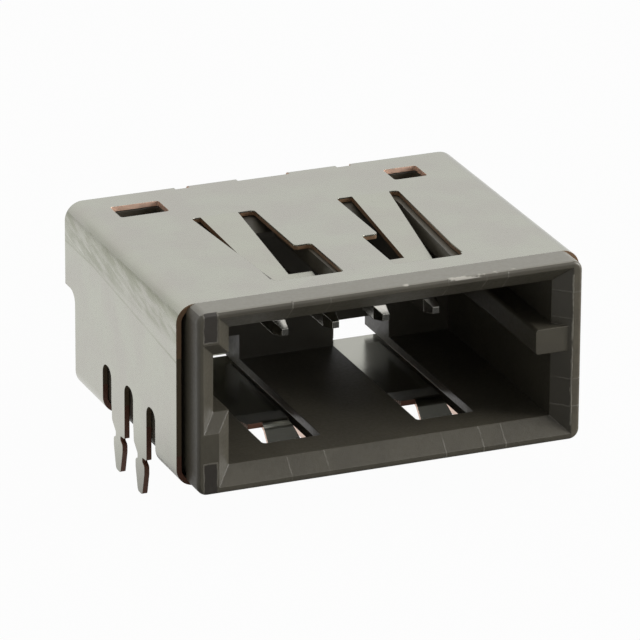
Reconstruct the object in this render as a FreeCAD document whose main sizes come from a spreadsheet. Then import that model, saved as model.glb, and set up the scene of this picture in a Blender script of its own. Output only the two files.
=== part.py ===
import FreeCAD, Part
import math
import os
import re
import Sketcher

# A shielded right-angle board header: a moulded housing in a folded metal shell, with four contacts.
# Sizes are in millimetres. X runs across the mating face, Y from the mating face to the rear, Z up.
# Y is 0 at the shell's front edge, Z is 0 at the board and X is 0 at the shell's middle.

SIZES = {
    # the shell, folded from thin sheet round the housing
    "shell_width": 15.9,
    "shell_depth": 11.45,
    "shell_height": 7.05,
    "sheet_gauge": 0.2,
    "bend_radius": 0.7,
    "seam_width": 0.06,
    "seam_place": 0.9,
    "rear_step_depth": 1.03,
    "rear_step_height": 3.83,
    "rear_step_radius": 0.5,
    "floor_tab_inset": 2.95,
    "floor_tab_reach": 0.45,
    # the spring fingers of the top, one the mirror image of the other
    "top_finger_edge": 2.3,
    "top_finger_root": 1.5,
    "top_finger_waist": 0.95,
    "top_finger_end": 0.86,
    "top_finger_crest": 2.35,
    "top_finger_tip": 1.45,
    "top_finger_drop": 0.8,
    "top_finger_lift": 0.35,
    "top_foot_front": 2.45,
    "top_foot_rear": 3.14,
    "top_foot_width": 0.92,
    # the spring fingers of the bottom, two alike
    "bottom_finger_edge": 2.58,
    "bottom_finger_root": 1.51,
    "bottom_finger_waist": 1.07,
    "bottom_finger_end": 1.28,
    "bottom_finger_crest": 2.61,
    "bottom_finger_tip": 2.05,
    "bottom_finger_drop": 0.69,
    "bottom_finger_lift": 0.61,
    "bottom_foot_width": 0.58,
    "bottom_finger_spacing": 6.12,
    "bottom_finger_setback": 0.45,
    "bottom_joggle_length": 0.4,
    "bottom_joggle_rise": 0.22,
    "bottom_finger_bend": 4.6,
    "crest_radius": 0.35,
    # the windows in the shell round the fingers, and their clearances from the fingers
    "window_front": 1.0,
    "window_rear": 8.15,
    "window_step": 4.15,
    "window_round": 0.15,
    "window_root_gap": 0.37,
    "window_end_gap": 0.56,
    "window_inner_gap": 0.64,
    "window_foot_gap": 0.38,
    "floor_slot_front": 0.8,
    "floor_slot_foot_gap": 0.13,
    "floor_slot_root_gap": 0.08,
    # the two holes near the rear edge of the top
    "hole_setback": 1.07,
    "hole_length": 1.18,
    "left_hole_inset": 1.4,
    "left_hole_width": 1.93,
    "right_hole_inset": 2.1,
    "right_hole_width": 1.35,
    "hole_round": 0.12,
    "hole_recess": 0.8,
    # the two flaps folded down at the rear
    "flap_inner": 1.05,
    "flap_outer": 3.0,
    "flap_relief": 0.57,
    "flap_setback": 0.17,
    "flap_proud": 0.25,
    "flap_radius": 0.3,
    # the legs of each side, which go through the board
    "leg_front": 3.7,
    "leg_pitch": 2.25,
    "leg_width": 1.35,
    "leg_slot_top": 2.13,
    "leg_slot_round": 0.4,
    "leg_opening": 0.8,
    "leg_step": 0.13,
    "leg_shoulder": 0.17,
    "leg_shoulder_width": 1.24,
    "leg_neck": 0.17,
    "leg_neck_width": 0.48,
    "leg_neck_length": 0.17,
    "leg_barb": 0.46,
    "leg_barb_width": 0.9,
    "leg_barb_length": 0.3,
    "leg_round": 0.07,
    "leg_tip_width": 0.45,
    "leg_length": 1.65,
    # the housing's outside
    "fit_gap": 0.03,
    "flange_depth": 1.15,
    "flange_gap": 0.175,
    "flange_corner": 0.4,
    "flange_edge": 0.14,
    "neck_length": 0.6,
    "rear_clearance": 0.25,
    # the mating cavity
    "left_wall": 1.58,
    "right_wall": 1.12,
    "floor_thickness": 0.62,
    "ceiling_thickness": 0.62,
    "lead_in": 0.6,
    "keyway_bottom": 2.98,
    "keyway_top": 5.21,
    "keyway_depth": 0.6,
    "rib_bottom": 3.53,
    "rib_top": 4.5,
    "rib_reach": 0.82,
    "rib_setback": 0.1,
    "rib_round": 0.12,
    # the housing's slots for the fingers, and their clearances from the fingers
    "tunnel_top": 1.84,
    "floor_rebate": 0.35,
    "floor_rebate_top": 0.52,
    "ceiling_slot_front": 1.2,
    "ceiling_slot_rear": 7.35,
    "ceiling_slot_root_gap": 0.12,
    "ceiling_slot_end_gap": 0.3,
    "ceiling_slot_foot_gap": 0.26,
    "root_ramp_rear": 8.2,
    "root_ramp_depth": 0.4,
    # the rear wall, and the bay behind it that the tails come down in
    "wall_thickness": 1.4,
    "bay_depth": 0.95,
    "bay_headroom": 0.56,
    "wing_inset": 1.35,
    # the contacts
    "contact_pitch": 2.0,
    "contact_width": 0.5,
    "contact_tip": 1.75,
    "contact_height": 4.69,
    "tip_length": 0.6,
    "tip_width": 0.26,
    "tail_gap": 0.11,
    "tail_gauge": 0.35,
    "tail_width": 0.3,
    "tail_pitch": 0.9,
    "tail_bend": 0.3,
    "jog_top": 4.1,
    "jog_bottom": 2.5,
    "jog_radius": 0.3,
    "tail_length": 1.65,
    "tail_point": 0.35,
    # how far a cutting outline runs past the face that it cuts
    "overcut": 1.0,
}

# places that follow from the sizes
housing_low = "(sheet_gauge + fit_gap)"
housing_high = "(shell_height - sheet_gauge - fit_gap)"
housing_side = "(shell_width / 2 - sheet_gauge - fit_gap)"
flange_side = "(shell_width / 2 - sheet_gauge - flange_gap)"
cavity_left = f"({housing_side} - left_wall)"
cavity_right = f"({housing_side} - right_wall)"
cavity_floor = f"({housing_low} + floor_thickness)"
cavity_ceiling = f"({housing_high} - ceiling_thickness)"
housing_rear = "(shell_depth - rear_clearance)"
wall_rear = f"({housing_rear} - bay_depth)"
cavity_rear = f"({wall_rear} - wall_thickness)"
lower_rear = "(shell_depth - rear_step_depth)"
tail_front = f"({lower_rear} + floor_tab_reach + tail_gap)"
bottom_root = f"({lower_rear} - bottom_finger_setback)"
floor_slot_left = "(bottom_finger_edge - bottom_foot_width - floor_slot_foot_gap)"
floor_slot_right = "(bottom_finger_edge + bottom_finger_root + floor_slot_root_gap)"

doc = FreeCAD.newDocument("board_header")
sheet = doc.addObject("Spreadsheet::Sheet", "Sizes")
for row, (alias, size) in enumerate(SIZES.items(), 1):
    sheet.set(f"A{row}", alias.replace("_", " "))
    sheet.set(f"B{row}", str(size))
    sheet.setAlias(f"B{row}", alias)
doc.recompute()


def number(text):
    return float(sheet.evalExpression(text))


def sized(text):
    # an expression in the sheet's aliases, as another object reads it
    words = re.split(r"([a-z_]+)", text)
    return "".join("Sizes." + word if word in SIZES else word for word in words)


def origin_feature(body, role):
    return next(feature for feature in body.Origin.OriginFeatures if feature.Role == role)


def draw(sketch, corners):
    # a closed outline through corners of (x, y) or (x, y, radius), bound to the sheet
    count = len(corners)
    places = [FreeCAD.Vector(number(corner[0]), number(corner[1]), 0) for corner in corners]
    first = sketch.GeometryCount
    arrivals, departures, rounds = [], [], {}
    for i, corner in enumerate(corners):
        back = (places[i - 1] - places[i]).normalize()
        ahead = (places[(i + 1) % count] - places[i]).normalize()
        half = back.getAngle(ahead) / 2
        radius = number(corner[2]) if len(corner) > 2 else 0
        arrivals.append(places[i] + back * (radius / math.tan(half)))
        departures.append(places[i] + ahead * (radius / math.tan(half)))
        if radius:
            centre = places[i] + (back + ahead).normalize() * (radius / math.sin(half))
            rounds[i] = (centre, radius, back.cross(ahead).z < 0)
    for i in range(count):
        sketch.addGeometry(Part.LineSegment(departures[i], arrivals[(i + 1) % count]), False)
    laws = []
    bound = []
    for i, corner in enumerate(corners):
        before, after = first + (i - 1) % count, first + i
        if i in rounds:
            centre, radius, left_turn = rounds[i]
            ends = (arrivals[i], departures[i]) if left_turn else (departures[i], arrivals[i])
            angles = [math.atan2(end.y - centre.y, end.x - centre.x) for end in ends]
            circle = Part.Circle(centre, FreeCAD.Vector(0, 0, 1), radius)
            arc = sketch.addGeometry(Part.ArcOfCircle(circle, *angles), False)
            vertex = sketch.addGeometry(Part.Point(places[i]), True)
            arrive, depart = (1, 2) if left_turn else (2, 1)
            laws.append(Sketcher.Constraint("PointOnObject", vertex, 1, before))
            laws.append(Sketcher.Constraint("PointOnObject", vertex, 1, after))
            laws.append(Sketcher.Constraint("Tangent", before, 2, arc, arrive))
            laws.append(Sketcher.Constraint("Tangent", arc, depart, after, 1))
            bound.append((len(laws), corner[2]))
            laws.append(Sketcher.Constraint("Radius", arc, radius))
        else:
            vertex = after
            laws.append(Sketcher.Constraint("Coincident", before, 2, after, 1))
        bound.append((len(laws), corner[0]))
        laws.append(Sketcher.Constraint("DistanceX", -1, 1, vertex, 1, places[i].x))
        bound.append((len(laws), corner[1]))
        laws.append(Sketcher.Constraint("DistanceY", -1, 1, vertex, 1, places[i].y))
    start = sketch.ConstraintCount
    sketch.addConstraint(laws)
    for index, text in bound:
        sketch.setExpression(f"Constraints[{start + index}]", sized(text))


def new_sketch(body, name, role, place, outlines):
    # a sketch on an origin plane, moved along that plane's axis to a place
    sketch = body.newObject("Sketcher::SketchObject", name + "_sketch")
    sketch.AttachmentSupport = [(origin_feature(body, role), "")]
    sketch.MapMode = "FlatFace"
    sense = "-" if role == "XZ_Plane" else ""
    sketch.setExpression("AttachmentOffset.Base.z", sized(f"{sense}({place})"))
    for corners in outlines:
        draw(sketch, corners)
    return sketch


def extrude(body, kind, name, role, place, outlines, length, sense=1):
    # a Pad or Pocket whose outlines run along the plane's axis, up it for a sense of 1
    sketch = new_sketch(body, name, role, place, outlines)
    solid_before = body.Shape.Volume if body.Tip else 0
    feature = body.newObject("PartDesign::" + kind, name)
    feature.Profile = sketch
    feature.setExpression("Length", sized(length))
    forward = -1 if (role == "XZ_Plane") != (kind == "Pocket") else 1
    feature.Reversed = forward != sense
    doc.recompute()
    grown = body.Shape.Volume - solid_before
    if (grown > 0) != (kind == "Pad") or grown == 0:
        raise RuntimeError(f"{name} changes nothing")
    return feature


def mirror(body, name, features):
    feature = body.newObject("PartDesign::Mirrored", name)
    feature.Originals = features
    feature.MirrorPlane = (origin_feature(body, "YZ_Plane"), [""])
    body.Tip = feature
    doc.recompute()


def fillet(body, name, edges, radius):
    # a fillet of some edges of the body as it stands
    base = body.Tip
    names = [f"Edge{i}" for i, edge in enumerate(base.Shape.Edges, 1) if any(edge.isSame(e) for e in edges)]
    feature = body.newObject("PartDesign::Fillet", name)
    feature.Base = (base, names)
    feature.setExpression("Radius", sized(radius))
    doc.recompute()


def rectangle(left, right, low, high, *radius):
    return [(left, low, *radius), (right, low, *radius), (right, high, *radius), (left, high, *radius)]


def both_sides(outlines):
    # the outlines and their mirror images in X
    images = []
    for corners in outlines:
        images.append([(f"-({corner[0]})", *corner[1:]) for corner in reversed(corners)])
    return outlines + images


def floor_slot_sides():
    # the sides of the right slot, and of its copy to the left
    right_slot = (floor_slot_left, floor_slot_right)
    return [right_slot, tuple(f"{side} - bottom_finger_spacing" for side in right_slot)]


def rear_holes():
    # the outlines of the two holes near the rear edge of the top
    rear = "shell_depth - hole_setback"
    front = f"{rear} - hole_length"
    left, right = "left_hole_inset - shell_width / 2", "shell_width / 2 - right_hole_inset"
    return [
        rectangle(left, f"{left} + left_hole_width", front, rear, "hole_round"),
        rectangle(f"{right} - right_hole_width", right, front, rear, "hole_round"),
    ]


def new_body(name):
    body = doc.addObject("PartDesign::Body", name)
    body.Label = name
    return body


def make_shell():
    body = new_body("shell")
    half = "shell_width / 2"
    inner = "(shell_width / 2 - sheet_gauge)"

    wall = rectangle("-" + half, half, "0", "shell_height", "bend_radius")
    inner_top = "shell_height - sheet_gauge"
    bore = rectangle("-" + inner, inner, "sheet_gauge", inner_top, "bend_radius - sheet_gauge")
    extrude(body, "Pad", "folded_wall", "XZ_Plane", "0", [wall, bore], "shell_depth")

    step = [
        (lower_rear, "-overcut"),
        ("shell_depth + overcut", "-overcut"),
        ("shell_depth + overcut", "rear_step_height"),
        (lower_rear, "rear_step_height", "rear_step_radius"),
    ]
    extrude(body, "Pocket", "rear_step", "YZ_Plane", "-" + half, [step], "shell_width")
    tab_side = f"({half} - floor_tab_inset)"
    tab_ends = (f"{lower_rear} - sheet_gauge", f"{lower_rear} + floor_tab_reach")
    tab = rectangle("-" + tab_side, tab_side, *tab_ends)
    extrude(body, "Pad", "floor_tab", "XY_Plane", "0", [tab], "sheet_gauge")

    front_inner = "top_finger_edge - top_foot_width - window_foot_gap"
    rear_inner = "top_finger_edge - window_inner_gap"
    window = [
        (front_inner, "window_front", "window_round"),
        ("top_finger_edge + top_finger_end + window_end_gap", "window_front", "window_round"),
        ("top_finger_edge + top_finger_root + window_root_gap", "window_rear", "window_round"),
        (rear_inner, "window_rear", "window_round"),
        (rear_inner, "window_step", "window_round"),
        (front_inner, "window_step", "window_round"),
    ]
    windows = both_sides([window])
    extrude(body, "Pocket", "top_windows", "XY_Plane", "shell_height", windows, "bend_radius", -1)
    ends = ("floor_slot_front", bottom_root)
    windows = [rectangle(*sides, *ends, "window_round") for sides in floor_slot_sides()]
    extrude(body, "Pocket", "floor_windows", "XY_Plane", "0", windows, "bend_radius")

    extrude(body, "Pocket", "rear_holes", "XY_Plane", "shell_height", rear_holes(), "bend_radius", -1)
    seam = rectangle("seam_place", "seam_place + seam_width", "-overcut", "shell_depth + overcut")
    extrude(body, "Pocket", "seam", "XY_Plane", "0", [seam], "bend_radius")

    make_flaps(body)
    make_legs(body)
    make_fingers(body)


def make_flaps(body):
    edge = "flap_outer + flap_relief"
    relief = rectangle(f"-({edge})", edge, "shell_depth - flap_setback", "shell_depth + overcut")
    extrude(body, "Pocket", "flap_relief_cut", "XY_Plane", "shell_height", [relief], "bend_radius", -1)
    rear = "shell_depth + flap_proud"
    start = "shell_depth - flap_setback - sheet_gauge"
    fold = [
        (start, "shell_height - sheet_gauge"),
        (f"{rear} - sheet_gauge", "shell_height - sheet_gauge", "flap_radius - sheet_gauge"),
        (f"{rear} - sheet_gauge", "0"),
        (rear, "0"),
        (rear, "shell_height", "flap_radius"),
        (start, "shell_height"),
    ]
    flap = extrude(body, "Pad", "flap", "YZ_Plane", "flap_inner", [fold], "flap_outer - flap_inner")
    mirror(body, "flaps", [flap])


def make_legs(body):
    side = "-shell_width / 2"
    centres = ["leg_front", "(leg_front + leg_pitch)"]
    slot_width = "(leg_pitch - leg_width)"
    slot_step = f"(leg_width + {slot_width}) / 2"
    front_end = f"leg_front - leg_width / 2 - {slot_width}"
    rear_end = f"leg_front + leg_pitch + leg_width / 2 + {slot_width}"
    opening = rectangle(front_end, rear_end, "-overcut", "bend_radius")
    opened = extrude(body, "Pocket", "bend_opening", "YZ_Plane", side, [opening], "leg_opening")

    slots = []
    for place in range(3):
        middle = f"leg_front + {place} * leg_pitch - {slot_step}"
        near, far = f"{middle} - {slot_width} / 2", f"{middle} + {slot_width} / 2"
        crown = ("leg_slot_top", "leg_slot_round")
        slots.append([(near, "0"), (far, "0"), (far, *crown), (near, *crown)])
    slotted = extrude(body, "Pocket", "leg_slots", "YZ_Plane", side, slots, "bend_radius")

    legs = []
    for centre in centres:
        # half widths: the front side steps in to the neck, and the rear side slopes in to it
        foot = [
            ("leg_neck_width / 2", "-leg_neck", "leg_round"),
            ("leg_neck_width / 2", "-leg_neck - leg_neck_length", "leg_round"),
            ("leg_barb_width / 2", "-leg_barb", "2 * leg_round"),
            ("leg_barb_width / 2", "-leg_barb - leg_barb_length", "2 * leg_round"),
            ("leg_tip_width / 2", "-leg_length", "leg_tip_width / 3"),
        ]
        root = ("leg_width / 2", "bend_radius + sheet_gauge")
        front = [root, ("leg_width / 2", "-leg_step", "leg_round"), *foot]
        rear = [root, ("leg_shoulder_width / 2", "leg_shoulder", "3 * leg_round"), *foot]
        near = [(f"{centre} - {reach}", *rest) for reach, *rest in front]
        far = [(f"{centre} + {reach}", *rest) for reach, *rest in reversed(rear)]
        legs.append(near + far)
    standing = extrude(body, "Pad", "leg_pair", "YZ_Plane", side, legs, "sheet_gauge")
    mirror(body, "both_sides_legs", [opened, slotted, standing])


def make_fingers(body):
    # each finger: the plate that it is lanced from, its straight edge, and the sense of its width from there
    fingers = {
        "top_left": ("top", "-top_finger_edge", -1),
        "top_right": ("top", "top_finger_edge", 1),
        "bottom_left": ("bottom", "(bottom_finger_edge - bottom_finger_spacing)", 1),
        "bottom_right": ("bottom", "bottom_finger_edge", 1),
    }
    # each plate: the line of its fingers from their root to where they begin to slope, as places and depths
    lines = {
        "top": [("window_rear", "0")],
        "bottom": [
            (bottom_root, "0"),
            (f"({bottom_root} - bottom_joggle_length)", "bottom_joggle_rise"),
            ("bottom_finger_bend", "bottom_joggle_rise"),
        ],
    }
    for name, (plate, edge, sense) in fingers.items():
        size = plate + "_finger_"
        crest, tip, drop = size + "crest", size + "tip", size + "drop"
        face, inward = ("shell_height", -1) if plate == "top" else ("0", 1)
        root = lines[plate][0][0]
        start, rise = lines[plate][-1]

        def level(depth):
            return f"{face} + {inward} * ({depth})"

        def on_slope(y, depth="0"):
            # a point on the finger's outer face, or at a depth below it
            run = f"({start} - {y}) / ({start} - {crest})"
            return (y, level(f"{rise} + ({drop} - {rise}) * {run} + {depth}"))

        back = [(f"{root} + sheet_gauge", "0"), *lines[plate]]
        outer = [(y, level(depth)) for y, depth in back]
        inner = [(y, level(f"{depth} + sheet_gauge")) for y, depth in reversed(back)]
        front = [
            (*on_slope(crest), "crest_radius"),
            (tip, level(f"{drop} - {size}lift")),
            (tip, level(f"{drop} - {size}lift + sheet_gauge")),
            (*on_slope(crest, "sheet_gauge"), "crest_radius + sheet_gauge"),
        ]
        strip = outer + front + inner
        extrude(body, "Pad", name + "_finger", "YZ_Plane", edge, [strip], size + "root", sense)

        widths = ("root", "waist", "end")
        root_side, waist_side, end_side = (f"{edge} + {sense} * {size}{width}" for width in widths)
        trim = [
            (root_side, start),
            (waist_side, crest),
            (end_side, tip),
            (end_side, f"{tip} - sheet_gauge"),
            (root_side, f"{tip} - sheet_gauge"),
        ]
        depth = f"{drop} + 2 * sheet_gauge"
        extrude(body, "Pocket", name + "_taper", "XY_Plane", face, [trim], depth, inward)

        foot = outer + [on_slope(crest), on_slope(crest, "sheet_gauge")] + inner
        if plate == "top":
            foot = [on_slope("top_foot_front"), on_slope("top_foot_rear")]
            foot += [on_slope("top_foot_rear", "sheet_gauge"), on_slope("top_foot_front", "sheet_gauge")]
        extrude(body, "Pad", name + "_foot", "YZ_Plane", edge, [foot], plate + "_foot_width", -sense)


def mouth(grow):
    # the cavity's outline with its keyway, every side moved outward by a distance
    left, key = f"-({cavity_left} + {grow})", f"-({cavity_left} + keyway_depth + {grow})"
    right = f"{cavity_right} + {grow}"
    low, high = f"{cavity_floor} - {grow}", f"{cavity_ceiling} + {grow}"
    key_low, key_high = f"keyway_bottom - {grow}", f"keyway_top + {grow}"
    return [
        (left, low),
        (right, low),
        (right, high),
        (left, high),
        (left, key_high),
        (key, key_high),
        (key, key_low),
        (left, key_low),
    ]


def make_housing():
    body = new_body("housing")
    front = "-flange_depth"
    flange = rectangle("-" + flange_side, flange_side, "0", "shell_height", "flange_corner")
    extrude(body, "Pad", "flange", "XZ_Plane", front, [flange], "flange_depth")
    corner = "bend_radius - sheet_gauge"
    neck = rectangle("-" + flange_side, flange_side, housing_low, housing_high, corner)
    extrude(body, "Pad", "neck", "XZ_Plane", "0", [neck], "neck_length")
    core = rectangle("-" + housing_side, housing_side, housing_low, housing_high, corner)
    extrude(body, "Pad", "core", "XZ_Plane", "neck_length", [core], f"{housing_rear} - neck_length")

    extrude(body, "Pocket", "cavity", "XZ_Plane", front, [mouth("0")], f"flange_depth + {cavity_rear}")
    wide_end = new_sketch(body, "wide_end", "XZ_Plane", front, [mouth("lead_in")])
    narrow_end = new_sketch(body, "narrow_end", "XZ_Plane", "lead_in - flange_depth", [mouth("0")])
    funnel = body.newObject("PartDesign::SubtractiveLoft", "lead_in_funnel")
    funnel.Profile = wide_end
    funnel.Sections = [narrow_end]
    funnel.Ruled = True
    doc.recompute()
    front_face = min(body.Tip.Shape.Faces, key=lambda face: face.CenterOfMass.y)
    fillet(body, "flange_edges", front_face.OuterWire.Edges, "flange_edge")

    rib_side = f"{cavity_right} - rib_reach"
    rib_root = f"{cavity_right} + lead_in"
    rib = [
        (rib_side, "rib_bottom", "rib_round"),
        (rib_root, "rib_bottom"),
        (rib_root, "rib_top"),
        (rib_side, "rib_top", "rib_round"),
    ]
    rib_length = f"flange_depth - rib_setback + {cavity_rear}"
    extrude(body, "Pad", "polarising_rib", "XZ_Plane", "rib_setback - flange_depth", [rib], rib_length)

    make_finger_slots(body)
    extrude(body, "Pocket", "hole_recesses", "XY_Plane", housing_high, rear_holes(), "hole_recess", -1)
    make_rear_bay(body)


def make_finger_slots(body):
    slots = []
    for left, right in floor_slot_sides():
        rear = f"{housing_rear} + overcut"
        ends = [(left, "floor_slot_front", "window_round"), (right, "floor_slot_front", "window_round")]
        slots.append(ends + [(right, rear), (left, rear)])
    extrude(body, "Pocket", "floor_slots", "XY_Plane", "0", slots, "tunnel_top")

    # under the floor a rebate along each slot, out to the rear, leaves a thin lip at its right side
    rebates = []
    for left, right in floor_slot_sides():
        rebates.append(rectangle(right, f"{right} + floor_rebate", "floor_slot_front", f"{housing_rear} + overcut"))
    extrude(body, "Pocket", "floor_rebates", "XY_Plane", "0", rebates, "floor_rebate_top")

    inner = "(top_finger_edge - top_foot_width - ceiling_slot_foot_gap)"
    outer_rear = "(top_finger_edge + top_finger_root + ceiling_slot_root_gap)"
    outer_front = "(top_finger_edge + top_finger_end + ceiling_slot_end_gap)"
    through = [
        (inner, "ceiling_slot_front", "window_round"),
        (outer_front, "ceiling_slot_front", "window_round"),
        (outer_rear, "ceiling_slot_rear", "window_round"),
        (inner, "ceiling_slot_rear", "window_round"),
    ]
    depth = f"shell_height - {cavity_ceiling} + overcut"
    extrude(body, "Pocket", "ceiling_slots", "XY_Plane", "shell_height", both_sides([through]), depth, -1)

    # behind each ceiling slot the plastic rises in a ramp to the finger's root
    start = "ceiling_slot_rear - 2 * window_round"
    ramp = [
        (start, f"{housing_high} - root_ramp_depth"),
        ("ceiling_slot_rear", f"{housing_high} - root_ramp_depth"),
        ("root_ramp_rear", housing_high),
        (start, housing_high),
    ]
    width = f"{outer_rear} - {inner}"
    extrude(body, "Pocket", "left_root_ramp", "YZ_Plane", "-" + inner, [ramp], width, -1)
    extrude(body, "Pocket", "right_root_ramp", "YZ_Plane", inner, [ramp], width)


def make_rear_bay(body):
    holes = []
    half = "(contact_width / 2 + fit_gap)"
    for place in range(4):
        middle = f"({place - 1.5}) * contact_pitch"
        sides = (f"{middle} - {half}", f"{middle} + {half}")
        holes.append(rectangle(*sides, f"contact_height - {half}", f"contact_height + {half}"))
    extrude(body, "Pocket", "contact_holes", "XZ_Plane", f"{cavity_rear} - overcut", holes, housing_rear)

    rear = f"{housing_rear} + overcut"
    bay = rectangle(f"{floor_slot_left} - bottom_finger_spacing", floor_slot_right, wall_rear, rear)
    bay_top = "contact_height + contact_width / 2 + bay_headroom"
    extrude(body, "Pocket", "tail_bay", "XY_Plane", "0", [bay], bay_top)
    beside = rectangle("shell_width / 2 - wing_inset", "shell_width / 2", lower_rear, rear)
    extrude(body, "Pocket", "wing_sides", "XY_Plane", "0", both_sides([beside]), "rear_step_height")


def make_contact(place):
    body = new_body(f"contact_{place + 1}")
    middle = f"({place - 1.5}) * contact_pitch"
    tail = f"({place - 1.5}) * tail_pitch"

    def square(width):
        across = (f"{middle} - {width} / 2", f"{middle} + {width} / 2")
        upright = (f"contact_height - {width} / 2", f"contact_height + {width} / 2")
        return rectangle(*across, *upright)

    shoulder = "contact_tip + tip_length"
    point = new_sketch(body, "point", "XZ_Plane", "contact_tip", [square("tip_width")])
    base = new_sketch(body, "base", "XZ_Plane", shoulder, [square("contact_width")])
    taper = body.newObject("PartDesign::AdditiveLoft", "tapered_tip")
    taper.Profile = point
    taper.Sections = [base]
    doc.recompute()
    pin_length = f"{tail_front} + tail_gauge - ({shoulder})"
    extrude(body, "Pad", "pin", "XZ_Plane", shoulder, [square("contact_width")], pin_length)

    top = "contact_height + contact_width / 2"
    profile = [
        (middle, "contact_width", top),
        (middle, "contact_width", "jog_top", "jog_radius"),
        (tail, "tail_width", "jog_bottom", "jog_radius"),
        (tail, "tail_width", "tail_point - tail_length"),
        (tail, "tail_width / 2", "-tail_length"),
    ]
    left = [(f"{x} - {width} / 2", *rest) for x, width, *rest in profile]
    right = [(f"{x} + {width} / 2", *rest) for x, width, *rest in reversed(profile)]
    extrude(body, "Pad", "tail", "XZ_Plane", tail_front, [left + right], "tail_gauge")
    corner = (number(top), number(f"{tail_front} + tail_gauge"))
    heel = []
    for edge in body.Tip.Shape.Edges:
        box = edge.BoundBox
        if abs(box.ZMin - corner[0]) < 1e-4 and abs(box.YMin - corner[1]) < 1e-4:
            heel.append(edge)
    fillet(body, "heel", heel, "tail_bend")


make_housing()
make_shell()
for place in range(4):
    make_contact(place)
doc.recompute()

for item in doc.Objects:
    if "Invalid" in item.State or "Error" in item.State:
        raise RuntimeError(f"{item.Label}: {item.State}")
bodies = [item for item in doc.Objects if item.TypeId == "PartDesign::Body"]
for body in bodies:
    if body.Shape.isNull() or not body.Shape.isValid() or len(body.Shape.Solids) != 1:
        raise RuntimeError(f"{body.Label} is not one valid solid")

os.makedirs("parts", exist_ok=True)
for body in bodies:
    body.Shape.exportStep(f"parts/{body.Label}.step")
    print(body.Label, round(body.Shape.Volume, 3))
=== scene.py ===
import math
import bpy
import bmesh
from mathutils import Matrix, Vector

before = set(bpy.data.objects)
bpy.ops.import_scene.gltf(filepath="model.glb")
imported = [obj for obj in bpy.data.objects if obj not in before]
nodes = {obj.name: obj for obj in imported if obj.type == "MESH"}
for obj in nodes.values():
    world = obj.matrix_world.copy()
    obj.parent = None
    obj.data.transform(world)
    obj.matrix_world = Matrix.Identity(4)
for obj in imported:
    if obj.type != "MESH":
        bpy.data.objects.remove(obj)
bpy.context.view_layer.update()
mm = 0.001
print("loaded", sorted(nodes))


# the sizes of the shell that the finishes are laid out by, in millimetres
layout = {
    "halfWidth": 7.95,
    "depth": 11.45,
    "height": 7.05,
    "gauge": 0.2,
    "bend": 0.7,
    "flapInner": 1.05,
    "flapOuter": 3.0,
    "foldRoom": 0.18,  # the fold of the flaps is this close to the full depth
    "rearHoles": 8.9,  # the two rear holes of the top lie behind this
    "legTip": -1.65,
}


def colour(red, green, blue):
    # a colour as it is read off a screen, made linear
    channels = []
    for value in (red, green, blue):
        share = value / 255
        channels.append(share / 12.92 if share <= 0.04045 else ((share + 0.055) / 1.055) ** 2.4)
    return (*channels, 1.0)


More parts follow.
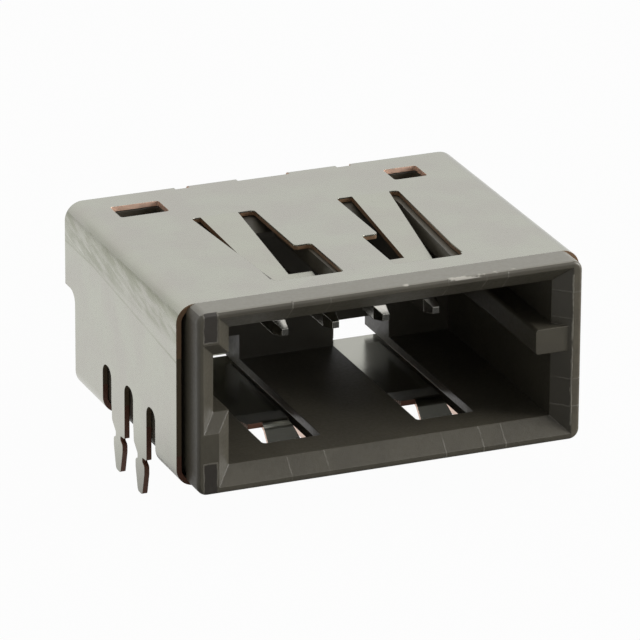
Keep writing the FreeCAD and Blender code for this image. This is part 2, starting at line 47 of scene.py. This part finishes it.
class Finish:
    # one material and short ways to add to its node tree
    def __init__(self, name):
        self.material = bpy.data.materials.new(name)
        self.material.use_nodes = True
        self.tree = self.material.node_tree
        self.tree.nodes.clear()
        self.surface = self.add("ShaderNodeBsdfPrincipled")
        output = self.add("ShaderNodeOutputMaterial")
        self.tree.links.new(self.surface.outputs[0], output.inputs[0])
        scaled = self.add("ShaderNodeVectorMath", operation="SCALE")
        self.put(scaled.inputs["Scale"], 1 / mm)
        self.put(scaled.inputs[0], self.add("ShaderNodeTexCoord").outputs["Object"])
        self.place = scaled.outputs[0]  # place on the object, in millimetres
        self.x, self.y, self.z = self.split(self.place)
        self.flat = self.add("ShaderNodeNewGeometry").outputs["True Normal"]
        self.facing = self.split(self.flat)

    def add(self, kind, **settings):
        node = self.tree.nodes.new(kind)
        for key, value in settings.items():
            setattr(node, key, value)
        return node

    def put(self, socket, value):
        if isinstance(value, bpy.types.NodeSocket):
            self.tree.links.new(value, socket)
        else:
            socket.default_value = value

    def split(self, vector):
        node = self.add("ShaderNodeSeparateXYZ")
        self.put(node.inputs[0], vector)
        return node.outputs[0], node.outputs[1], node.outputs[2]

    def sum(self, operation, first, second=0.0):
        node = self.add("ShaderNodeMath", operation=operation)
        self.put(node.inputs[0], first)
        self.put(node.inputs[1], second)
        return node.outputs[0]

    def every(self, *masks):
        whole = masks[0]
        for mask in masks[1:]:
            whole = self.sum("MULTIPLY", whole, mask)
        return whole

    def some(self, *masks):
        whole = masks[0]
        for mask in masks[1:]:
            whole = self.sum("MAXIMUM", whole, mask)
        return whole

    def other(self, mask):
        return self.sum("SUBTRACT", 1.0, mask)

    def over(self, value, limit):
        return self.sum("GREATER_THAN", value, limit)

    def under(self, value, limit):
        return self.sum("LESS_THAN", value, limit)

    def size(self, value):
        return self.sum("ABSOLUTE", value)

    def ramp(self, value, low, high, fromValue=0.0, toValue=1.0):
        node = self.add("ShaderNodeMapRange", interpolation_type="SMOOTHSTEP")
        for socket, amount in zip(node.inputs, (value, low, high, fromValue, toValue)):
            self.put(socket, amount)
        return node.outputs[0]

    def band(self, value, low, high, soft):
        # 1 between low and high, falling to 0 over a soft distance outside them
        rise = self.ramp(value, low - soft, low)
        return self.every(rise, self.ramp(value, high, high + soft, 1.0, 0.0))

    def grain(self, scale, detail=2.0, stretch=(1, 1, 1), shift=(0, 0, 0), turn=(0, 0, 0), rough=0.5):
        # noise of so many lumps to the millimetre, drawn out where stretch is small
        mapping = self.add("ShaderNodeMapping", vector_type="TEXTURE")
        self.put(mapping.inputs["Vector"], self.place)
        self.put(mapping.inputs["Location"], shift)
        self.put(mapping.inputs["Rotation"], turn)
        self.put(mapping.inputs["Scale"], tuple(1 / part for part in stretch))
        noise = self.add("ShaderNodeTexNoise")
        self.put(noise.inputs["Vector"], mapping.outputs[0])
        self.put(noise.inputs["Scale"], scale)
        self.put(noise.inputs["Detail"], detail)
        self.put(noise.inputs["Roughness"], rough)
        return noise.outputs["Fac"]

    def mix(self, share, first, second):
        node = self.add("ShaderNodeMix", data_type="RGBA")
        self.put(node.inputs["Factor"], share)
        self.put(node.inputs[6], first)
        self.put(node.inputs[7], second)
        return node.outputs[2]

    def blend(self, share, first, second):
        # a number between two others
        node = self.add("ShaderNodeMix", data_type="FLOAT")
        self.put(node.inputs[0], share)
        self.put(node.inputs[2], first)
        self.put(node.inputs[3], second)
        return node.outputs[0]

    def give(self, **sockets):
        for name, value in sockets.items():
            self.put(self.surface.inputs[name.replace("_", " ")], value)

    def roundEdges(self, radius):
        node = self.add("ShaderNodeBevel", samples=6)
        self.put(node.inputs["Radius"], radius * mm)
        return node.outputs[0]

    def arris(self, edges):
        # 1 along the edges of the shape, where the rounded normal leaves the flat one
        node = self.add("ShaderNodeVectorMath", operation="DOT_PRODUCT")
        self.put(node.inputs[0], edges)
        self.put(node.inputs[1], self.flat)
        return self.ramp(node.outputs["Value"], 0.8, 0.99, 1.0, 0.0)

    def relief(self, height, distance, edges):
        # bump of a height in millimetres over the rounded edges
        node = self.add("ShaderNodeBump")
        self.put(node.inputs["Distance"], distance * mm)
        self.put(node.inputs["Height"], height)
        self.put(node.inputs["Normal"], edges)
        return node.outputs[0]


def wear(node, material):
    node.data.materials.clear()
    node.data.materials.append(material)


# the shell: satin tin over copper alloy, with the bare alloy at every cut edge
scratchTurn = (0.22, 0, 0)
plate = {
    "tin": colour(181, 182, 170),
    "tinWarm": colour(178, 176, 167),
    "streakAndShade": colour(146, 148, 130),
    "scratch": colour(200, 200, 190),
    "tinShadedInside": colour(168, 168, 158),
    "copper": colour(250, 212, 188),
    "copperBright": colour(236, 208, 192),
    "copperDark": colour(96, 82, 62),
    "copperDull": colour(132, 104, 78),
    "copperShadedInside": colour(104, 68, 52),
    "roughness": (0.24, 0.29),
    "innerRoughness": 0.2,
    "flapRoughness": 0.6,
    "rawRoughness": 0.5,
    "rawMetal": 0.2,
    "edge": 0.03,
    "waveHeight": 0.0015,
    # where things are, in millimetres
    "slack": 0.01,
    "roll": 0.06,
    "flankSkin": 0.1,
    "arcSkin": 0.5,
    "sideShadeSkin": 0.72,
    "windowsAbove": 5.0,
    "lowerFingers": 1.2,
    "insideBelow": 2.0,
    "arcBand": (6.5, 6.78, 0.2),
    "flankRise": (5.4, 5.75),
    "seamBand": (4.84, 4.88, 0.05),
    "seamSlope": 0.085,
    "seamLevelFrom": 8.5,
    # how much of a mark shows: a stretch of noise or of place, and the shares at its two ends
    "clouds": (0.3, 0.7),
    "arcShare": (0.3, 0.62, 0.0, 0.3),
    "arcFade": (9.0, 11.2, 1.0, 0.2),
    "smearShare": (0.36, 0.62, 0.1, 0.8),
    "scrapeShare": (0.60, 0.70, 0.0, 0.6),
    "scrapeFade": (6.2, 6.6, 1.0, 0.0),
    "seamShare": (0.36, 0.6, 0.25, 0.75),
    "speckShare": (0.68, 0.78, 0.0, 0.25),
    "tarnishShare": (0.4, 0.8, 0.0, 0.35),
    "mattSpan": (0.3, 0.7),
    # the noises
    "cloud": {"scale": 0.6, "detail": 4.0},
    "streaks": {"scale": 1.0, "detail": 4.0, "stretch": (3.0, 0.3, 3.0), "shift": (3, 1, 2), "rough": 0.6},
    "smears": {
        "scale": 1.6, "detail": 4.0, "stretch": (1.0, 0.35, 2.0),
        "shift": (7, 5, 1), "turn": scratchTurn, "rough": 0.65,
    },
    "scrapes": {
        "scale": 3.2, "detail": 3.0, "stretch": (1.0, 0.12, 2.2),
        "shift": (1, 6, 3), "turn": scratchTurn, "rough": 0.6,
    },
    "specks": {"scale": 4.0, "shift": (2, 9, 4)},
    "burnish": {"scale": 2.5},
    "matt": {"scale": 9.0, "detail": 3.0},
    "waves": {"scale": 1.5, "shift": (4, 2, 8)},
}


def cutEdges(finish):
    # 1 on the faces that the press cut through the sheet, 0 on the plated faces
    half, height, depth = layout["halfWidth"], layout["height"], layout["depth"]
    gauge, bend, slack = layout["gauge"], layout["bend"], plate["slack"]
    aslant, mostly, squarely = 0.5, 0.7, 0.8  # how far a face is turned to one side
    x, y, z = finish.size(finish.x), finish.y, finish.z
    across, along, upright = (finish.size(part) for part in finish.facing)
    flat = finish.under(x, half - bend + slack)
    outerSheet = finish.some(finish.over(z, height - gauge - slack), finish.under(z, gauge + slack))
    ahead = finish.under(y, depth - layout["foldRoom"])
    behind = finish.over(y, depth - layout["foldRoom"])

    # the upper corner of the windows is rolled over and keeps its tin
    rolled = finish.every(finish.over(z, height - plate["roll"]), finish.under(y, layout["rearHoles"]))
    windows = finish.every(flat, outerSheet, ahead, finish.under(upright, aslant), finish.other(rolled))
    lowerBend = finish.every(finish.over(z, 0.0), finish.under(z, bend))
    corner = finish.some(lowerBend, finish.over(z, height - bend))
    sides = finish.every(
        finish.over(x, half - gauge - slack), finish.other(corner), finish.under(across, aslant)
    )
    bends = finish.every(finish.over(x, half - bend - slack), corner, finish.over(along, mostly))
    between = finish.every(finish.over(z, gauge + slack), finish.under(z, height - gauge - slack))
    ends = finish.some(finish.over(across, mostly), finish.over(along, squarely))
    fingers = finish.every(flat, between, ahead, ends)
    flapEnds = finish.some(finish.over(across, mostly), finish.under(finish.facing[2], -mostly))
    flaps = finish.every(behind, flat, flapEnds)
    clearOfFlaps = finish.some(
        finish.under(x, layout["flapInner"] - slack), finish.over(x, layout["flapOuter"] + slack)
    )
    rear = finish.every(behind, clearOfFlaps, finish.over(along, mostly))
    return finish.some(windows, sides, bends, fingers, flaps, rear)


def tinPlate():
    finish = Finish("tin_plate")
    half = layout["halfWidth"]
    facingUp, square = 0.3, 0.7
    x = finish.size(finish.x)
    cloud = finish.grain(**plate["cloud"])
    tin = finish.mix(finish.ramp(cloud, *plate["clouds"]), plate["tin"], plate["tinWarm"])

    # the top bends were drawn round the tool; along them the tin is darkened in a band, a painted dark
    # reflection broken up by streaks along the bend
    streaks, smears, scrapes = (finish.grain(**plate[key]) for key in ("streaks", "smears", "scrapes"))
    bendStreakAndShade = finish.every(finish.over(x, half - plate["arcSkin"]), finish.band(finish.z, *plate["arcBand"]))
    bendStreakAndShade = finish.every(
        bendStreakAndShade, finish.ramp(finish.y, *plate["arcFade"]), finish.ramp(streaks, *plate["arcShare"])
    )
    side = finish.over(x, half - plate["flankSkin"])
    flank = finish.every(side, finish.ramp(finish.z, *plate["flankRise"]))
    scraped = finish.every(flank, finish.ramp(finish.z, *plate["scrapeFade"]))
    smeared = finish.every(flank, finish.ramp(smears, *plate["smearShare"]))

    # a faint line along the sides, rising to the rear
    reach = finish.sum("MINIMUM", finish.y, plate["seamLevelFrom"])
    sloping = finish.sum("SUBTRACT", finish.z, finish.sum("MULTIPLY", reach, plate["seamSlope"]))
    seam = finish.every(side, finish.band(sloping, *plate["seamBand"]))
    seam = finish.every(seam, finish.ramp(streaks, *plate["seamShare"]))
    # the streak colour also paints the dark reflection band on the bends
    tin = finish.mix(finish.some(bendStreakAndShade, smeared, seam), tin, plate["streakAndShade"])
    scraped = finish.every(scraped, finish.ramp(scrapes, *plate["scrapeShare"]))
    tin = finish.mix(scraped, tin, plate["scratch"])
    specks = finish.ramp(finish.grain(**plate["specks"]), *plate["speckShare"])
    tin = finish.mix(specks, tin, plate["streakAndShade"])

    # the bare alloy: tarnished at random, and darker near the sides and low down inside as painted shade;
    # darker in the windows, and bright on the sides of the lower fingers
    raw = cutEdges(finish)
    burnish = finish.grain(**plate["burnish"])
    # near the sides the cut edges are all given the dark copper: painted shade
    tarnishAndShade = finish.some(
        finish.over(x, half - plate["sideShadeSkin"]), finish.ramp(burnish, *plate["tarnishShare"])
    )
    copper = finish.mix(tarnishAndShade, plate["copper"], plate["copperDark"])
    windows = finish.every(
        finish.over(finish.z, plate["windowsAbove"]), finish.under(finish.y, layout["rearHoles"])
    )
    copper = finish.mix(windows, copper, plate["copperDull"])
    low = finish.under(finish.z, plate["lowerFingers"])
    cheeks = finish.every(low, finish.over(finish.size(finish.facing[0]), square))
    # low down inside the slots the cut edges get a darker copper: painted shade
    copper = finish.mix(low, copper, plate["copperShadedInside"])
    copper = finish.mix(cheeks, copper, plate["copperBright"])

    # the sheet is rolled bright inside and glossier there; its upward faces low inside get a darker tin,
    # painted shade under the housing
    insideGlossAndShade = finish.every(
        finish.under(finish.z, plate["insideBelow"]), finish.over(finish.facing[2], facingUp)
    )
    tin = finish.mix(insideGlossAndShade, tin, plate["tinShadedInside"])
    finish.give(Base_Color=finish.mix(raw, tin, copper))
    rough = finish.every(raw, finish.other(cheeks))
    finish.give(Metallic=finish.blend(rough, 1.0, plate["rawMetal"]))
    matt = finish.ramp(finish.grain(**plate["matt"]), *plate["mattSpan"], *plate["roughness"])
    gloss = finish.blend(insideGlossAndShade, matt, plate["innerRoughness"])
    insideFlaps = finish.every(
        finish.over(finish.y, layout["depth"]), finish.under(finish.facing[1], -square)
    )
    gloss = finish.blend(insideFlaps, gloss, plate["flapRoughness"])
    finish.give(Roughness=finish.blend(rough, gloss, plate["rawRoughness"]))
    waves = finish.grain(**plate["waves"])
    finish.give(Normal=finish.relief(waves, plate["waveHeight"], finish.roundEdges(plate["edge"])))
    return finish.material


# the housing: dark grey filled resin, with the witness lines of its mould inserts round the mouth
resin = {
    "body": colour(80, 76, 66),
    "bodyPale": colour(85, 81, 70),
    "litLedge": colour(138, 135, 125),
    "paintedHighlight": colour(116, 109, 94),
    "insert": colour(58, 54, 49),
    "line": colour(108, 104, 94),
    "lip": colour(150, 146, 134),
    "nick": colour(205, 201, 190),
    "roughness": (0.34, 0.46),
    "ior": 1.5,
    "edge": 0.05,
    "reliefHeight": 0.008,
    "grainShare": 0.4,
    # where things are, in millimetres
    "frontBefore": -0.5,
    "edgeHighlightBefore": -0.3,
    "barEdges": (0.9, 6.2),
    "rightBar": 6.55,
    "lineWidth": 0.018,
    "lineSoft": 0.02,
    "lineWaver": 0.08,
    "topLines": (-3.90, -2.42, 2.21, 3.71, 4.59),
    "rightLines": (5.82, 4.78, 2.40, 1.32),
    "insertSides": (-7.34, -6.80),
    "insertEnds": ((5.92, 7.2), (-0.2, 1.23)),
    "insertSoft": 0.01,
    "lipPlace": 7.2,
    "lipSpan": (0.6, 6.5, 0.05),
    "rimHighlightRise": (7.2, 7.3),
    "litLedgeBefore": 0.2,
    "litLedgeAbove": 6.85,
    "browBefore": -1.0,
    "browBand": (6.97, 7.1, 0.03),
    "nickSpans": ((2.4, 4.9, 0.3), (0.25, 0.6, 0.1)),
    # how much of a mark shows: a stretch of noise, and the shares at its two ends
    "clouds": (0.35, 0.65),
    "lipShare": (0.4, 0.55, 0.25, 1.0),
    "lineShare": (0.36, 0.6, 0.15, 1.0),
    "edgeHighlightShare": (0.3, 0.7, 0.2, 0.7),
    "rimHighlightShare": (0.3, 0.7, 0.3, 0.55),
    "nickShare": (0.5, 0.62, 0.0, 0.8),
    "mattSpan": (0.3, 0.7),
    # the noises
    "cloud": {"scale": 0.8, "detail": 3.0},
    "shake": {"scale": 3.0, "shift": (4, 4, 4)},
    "lipBreaks": {"scale": 1.3, "detail": 3.0, "shift": (6, 2, 5)},
    "lineBreaks": {"scale": 1.7, "shift": (1, 8, 3)},
    "chips": {"scale": 4.0, "detail": 3.0, "stretch": (0.5, 1, 1), "shift": (5, 2, 7)},
    "matt": {"scale": 7.0, "detail": 3.0},
    "fine": {"scale": 22.0, "detail": 3.0},
}


def line(finish, value, middle, waver):
    # a thin ragged line where a value passes a place
    offset = finish.sum("SUBTRACT", value, middle)
    offset = finish.size(finish.sum("ADD", offset, waver))
    width = resin["lineWidth"]
    return finish.ramp(offset, width, width + resin["lineSoft"], 1.0, 0.0)


def insertMarks(finish, waver):
    # the two inserts on the left bar: their faces, and the lines round them
    left, right = resin["insertSides"]
    soft, middleHeight = resin["insertSoft"], layout["height"] / 2
    pads, outlines = [], []
    for low, high in resin["insertEnds"]:
        pads.append(
            finish.every(finish.band(finish.x, left, right, soft), finish.band(finish.z, low, high, soft))
        )
        end = low if low > middleHeight else high
        sides = finish.some(line(finish, finish.x, left, waver), line(finish, finish.x, right, waver))
        sides = finish.every(sides, finish.band(finish.z, low, high, resin["lineSoft"]))
        span = finish.band(finish.x, left, right, resin["lineSoft"])
        outlines.append(finish.some(sides, finish.every(line(finish, finish.z, end, waver), span)))
    return pads, outlines


def mouldedResin():
    finish = Finish("moulded_resin")
    facingFront, facingUp = -0.3, 0.8
    cloud = finish.grain(**resin["cloud"])
    base = finish.mix(finish.ramp(cloud, *resin["clouds"]), resin["body"], resin["bodyPale"])

    # the witness lines
    front = finish.every(
        finish.under(finish.y, resin["frontBefore"]), finish.under(finish.facing[1], facingFront)
    )
    shake = finish.grain(**resin["shake"])
    waver = finish.sum("MULTIPLY", finish.sum("SUBTRACT", shake, 0.5), resin["lineWaver"])
    lowBar, highBar = resin["barEdges"]
    bars = finish.some(finish.over(finish.z, highBar), finish.under(finish.z, lowBar))
    across = finish.some(*[line(finish, finish.x, place, waver) for place in resin["topLines"]])
    rightBar = finish.over(finish.x, resin["rightBar"])
    upright = finish.some(*[line(finish, finish.z, place, waver) for place in resin["rightLines"]])
    pads, outlines = insertMarks(finish, waver)
    lines = finish.some(finish.every(bars, across), finish.every(rightBar, upright), *outlines)
    breaks = finish.ramp(finish.grain(**resin["lineBreaks"]), *resin["lineShare"])
    lines = finish.every(front, lines, breaks)
    lip = line(finish, finish.x, resin["lipPlace"], waver)
    lip = finish.every(front, lip, finish.band(finish.z, *resin["lipSpan"]))
    lip = finish.every(lip, finish.ramp(finish.grain(**resin["lipBreaks"]), *resin["lipShare"]))

    # painted light on the ledge on top, the darker inserts, and painted highlights along the front edges
    # and on the right rim
    litLedge = finish.every(
        finish.under(finish.y, resin["litLedgeBefore"]),
        finish.over(finish.z, resin["litLedgeAbove"]),
        finish.over(finish.facing[2], facingUp),
    )
    base = finish.mix(litLedge, base, resin["litLedge"])
    base = finish.mix(finish.every(front, finish.some(*pads)), base, resin["insert"])
    edges = finish.roundEdges(resin["edge"])
    # paler along the front edges, broken up at random: painted highlight
    edgeHighlight = finish.every(
        finish.under(finish.y, resin["edgeHighlightBefore"]),
        finish.arris(edges),
        finish.ramp(shake, *resin["edgeHighlightShare"]),
    )
    # paler at the right rim of the front: painted highlight
    rimHighlight = finish.every(
        front, finish.ramp(finish.x, *resin["rimHighlightRise"]), finish.ramp(shake, *resin["rimHighlightShare"])
    )
    base = finish.mix(finish.some(edgeHighlight, rimHighlight), base, resin["paintedHighlight"])
    base = finish.mix(lines, base, resin["line"])
    base = finish.mix(lip, base, resin["lip"])

    # nicks along the upper front edge
    brow = finish.every(
        finish.under(finish.y, resin["browBefore"]), finish.band(finish.z, *resin["browBand"])
    )
    spans = finish.some(*[finish.band(finish.x, *span) for span in resin["nickSpans"]])
    chips = finish.ramp(finish.grain(**resin["chips"]), *resin["nickShare"])
    base = finish.mix(finish.every(brow, spans, chips), base, resin["nick"])

    finish.give(Base_Color=base)
    finish.give(IOR=resin["ior"])
    matt = finish.grain(**resin["matt"])
    finish.give(Roughness=finish.ramp(matt, *resin["mattSpan"], *resin["roughness"]))
    fine = finish.grain(**resin["fine"])
    height = finish.sum("ADD", finish.sum("MULTIPLY", fine, resin["grainShare"]), lines)
    finish.give(Normal=finish.relief(height, resin["reliefHeight"], edges))
    return finish.material


# the contacts: bright tin, finely drawn along the wire
pins = {
    "bright": colour(210, 208, 200),
    "dull": colour(196, 193, 184),
    "dullSpan": (0.35, 0.7),
    "roughness": (0.13, 0.18),
    "roughSpan": (0.3, 0.7),
    "edge": 0.04,
    "reliefHeight": 0.0003,
    "drawn": {"scale": 2.0, "stretch": (2.0, 0.3, 0.6)},
}


def brightTin():
    finish = Finish("bright_tin")
    drawn = finish.grain(**pins["drawn"])
    finish.give(Base_Color=finish.mix(finish.ramp(drawn, *pins["dullSpan"]), pins["bright"], pins["dull"]))
    finish.give(Metallic=1.0)
    finish.give(Roughness=finish.ramp(drawn, *pins["roughSpan"], *pins["roughness"]))
    finish.give(Normal=finish.relief(drawn, pins["reliefHeight"], finish.roundEdges(pins["edge"])))
    return finish.material


wear(nodes["housing"], mouldedResin())
wear(nodes["shell"], tinPlate())
contactTin = brightTin()
for name, node in nodes.items():
    if name.startswith("contact_"):
        wear(node, contactTin)
print("finishes given")


# the studio, in metres: white all round, a wide soft lamp above, a smaller one at the front right,
# and two dark cards in front that only glossy rays meet
studio = {
    "floorSide": 0.8,
    "floorGap": 0.02 * mm,
    "floorColour": colour(165, 165, 162),
    "whiteShare": 0.97,
    "worldStrength": 0.14,
    "skyRise": (0.0, 0.5),
    "skyShares": (0.76, 1.0),
    "cardShare": 0.06,
    "floorCard": {"X": (-0.016, -0.009, 0.022, 0.032), "Y": (-0.045, -0.030, -0.004, 0.010)},
    "hungCard": ((0.358, -0.438, 0.825), (0.965, 0.99)),  # its direction, and how near to it a ray runs
    "lamps": {  # place, size and power
        "overhead": ((0.02, 0.06, 0.42), (0.56, 0.46), 1.1),
        "frontRight": ((0.36, -0.17, 0.14), (0.20, 0.20), 1.45),
    },
    "unmirrored": ("overhead",),
    "aim": (0, 0.004, 0.003),
}


def join(tree, operation, first, second):
    node = tree.nodes.new("ShaderNodeMath")
    node.operation = operation
    for socket, value in zip(node.inputs, (first, second)):
        if isinstance(value, float):
            socket.default_value = value
        else:
            tree.links.new(value, socket)
    return node.outputs[0]


def seenWhite(tree):
    # 1 for the camera, see-through and glossy rays, which meet plain white; and 1 for glossy rays alone
    path = tree.nodes.new("ShaderNodeLightPath").outputs
    glossy = path["Is Glossy Ray"]
    seen = join(tree, "MAXIMUM", path["Is Camera Ray"], path["Is Transmission Ray"])
    return join(tree, "MAXIMUM", seen, glossy), glossy


def change(tree, value, near, far, low, high):
    # goes from low to high as a value goes from near to far
    node = tree.nodes.new("ShaderNodeMapRange")
    tree.links.new(value, node.inputs[0])
    for socket, amount in zip(list(node.inputs)[1:5], (near, far, low, high)):
        socket.default_value = amount
    return node.outputs[0]


def within(tree, value, limits):
    # 1 between the two middle limits, 0 outside the outer two
    rise = change(tree, value, limits[0], limits[1], 0.0, 1.0)
    return join(tree, "MULTIPLY", rise, change(tree, value, limits[2], limits[3], 1.0, 0.0))


def inGloss(tree, value, glossy):
    # a value for glossy rays, and 1 for the other rays
    return join(tree, "ADD", join(tree, "MULTIPLY", join(tree, "SUBTRACT", value, 1.0), glossy), 1.0)


def coordinatesOf(tree, kind):
    return tree.nodes.new("ShaderNodeTexCoord").outputs[kind]


def placeOf(tree, kind):
    apart = tree.nodes.new("ShaderNodeSeparateXYZ")
    tree.links.new(coordinatesOf(tree, kind), apart.inputs[0])
    return apart.outputs


def blendInto(tree, output, share, first, second):
    # shows the second shader by its share, and the first for the rest
    blend = tree.nodes.new("ShaderNodeMixShader")
    for socket, value in zip(blend.inputs, (share, first.outputs[0], second.outputs[0])):
        tree.links.new(value, socket)
    tree.links.new(blend.outputs[0], tree.nodes.new(output).inputs[0])


def makeFloor():
    shape = bmesh.new()
    bmesh.ops.create_grid(shape, x_segments=4, y_segments=4, size=studio["floorSide"] / 2)
    level = layout["legTip"] * mm - studio["floorGap"]
    bmesh.ops.translate(shape, verts=shape.verts, vec=(0, 0, level))
    mesh = bpy.data.meshes.new("floor")
    shape.to_mesh(mesh)
    shape.free()
    floor = bpy.data.objects.new("floor", mesh)
    bpy.context.scene.collection.objects.link(floor)
    material = bpy.data.materials.new("floor_paper")
    material.use_nodes = True
    tree = material.node_tree
    tree.nodes.clear()
    paper = tree.nodes.new("ShaderNodeBsdfDiffuse")
    paper.inputs["Color"].default_value = studio["floorColour"]
    glow = tree.nodes.new("ShaderNodeEmission")
    seen, glossy = seenWhite(tree)
    place = placeOf(tree, "Object")
    card = [within(tree, place[axis], limits) for axis, limits in studio["floorCard"].items()]
    shade = change(tree, join(tree, "MULTIPLY", *card), 0.0, 1.0, 1.0, studio["cardShare"])
    tree.links.new(inGloss(tree, shade, glossy), glow.inputs["Strength"])
    share = join(tree, "MULTIPLY", seen, studio["whiteShare"])
    blendInto(tree, "ShaderNodeOutputMaterial", share, paper, glow)
    mesh.materials.append(material)


def makeWorld():
    world = bpy.data.worlds.new("studio")
    world.use_nodes = True
    tree = world.node_tree
    tree.nodes.clear()
    sky, white = (tree.nodes.new("ShaderNodeBackground") for part in range(2))
    for background in (sky, white):
        background.inputs["Color"].default_value = (1, 1, 1, 1)
    sky.inputs["Strength"].default_value = studio["worldStrength"]
    seen, glossy = seenWhite(tree)
    rise = change(tree, placeOf(tree, "Generated")["Z"], *studio["skyRise"], *studio["skyShares"])
    middle, limits = studio["hungCard"]
    nearness = tree.nodes.new("ShaderNodeVectorMath")
    nearness.operation = "DOT_PRODUCT"
    tree.links.new(coordinatesOf(tree, "Generated"), nearness.inputs[0])
    nearness.inputs[1].default_value = middle
    shade = change(tree, nearness.outputs["Value"], *limits, 1.0, studio["cardShare"])
    shade = join(tree, "MULTIPLY", shade, rise)
    tree.links.new(inGloss(tree, shade, glossy), white.inputs["Strength"])
    blendInto(tree, "ShaderNodeOutputWorld", seen, sky, white)
    bpy.context.scene.world = world


def makeLamps():
    aim = Vector(studio["aim"])
    for name, (place, size, power) in studio["lamps"].items():
        lamp = bpy.data.lights.new(name, "AREA")
        lamp.shape = "RECTANGLE"
        lamp.size, lamp.size_y = size
        lamp.energy = power
        stand = bpy.data.objects.new(name, lamp)
        stand.location = place
        stand.rotation_euler = (aim - Vector(place)).to_track_quat("-Z", "Y").to_euler()
        stand.visible_glossy = name not in studio["unmirrored"]
        bpy.context.scene.collection.objects.link(stand)


# the camera, fitted to the photograph, with its angles in degrees and the picture in pixels
camera = {
    "azimuth": -22.625,
    "elevation": 21.399,
    "roll": 0.359,
    "distance": 0.23825,
    "lens": 365.43,
    "sensor": 36,
    "clip": (0.005, 20),
    "originPixel": (378.488, 456.357),
    "picture": 640,
}


def makeCamera():
    azimuth, elevation, roll = (math.radians(camera[key]) for key in ("azimuth", "elevation", "roll"))
    reach = math.cos(elevation)
    back = Vector((math.sin(azimuth) * reach, -math.cos(azimuth) * reach, math.sin(elevation)))
    level = Vector((0, 0, 1)).cross(back).normalized()
    rise = back.cross(level)
    right = math.cos(roll) * level + math.sin(roll) * rise
    up = math.cos(roll) * rise - math.sin(roll) * level
    data = bpy.data.cameras.new("camera")
    data.sensor_width = camera["sensor"]
    data.lens = camera["lens"]
    data.clip_start, data.clip_end = camera["clip"]
    pixel = camera["distance"] * camera["sensor"] / camera["lens"] / camera["picture"]
    middle = camera["picture"] / 2
    offRight = (camera["originPixel"][0] - middle) * pixel
    offUp = (middle - camera["originPixel"][1]) * pixel
    stand = bpy.data.objects.new("camera", data)
    turn = Matrix((right, up, back)).transposed().to_4x4()
    place = back * camera["distance"] - right * offRight - up * offUp
    stand.matrix_world = Matrix.Translation(place) @ turn
    bpy.context.scene.collection.objects.link(stand)
    bpy.context.scene.camera = stand


makeFloor()
makeWorld()
makeLamps()
makeCamera()
bpy.context.scene.view_settings.view_transform = "Standard"
print("studio set")
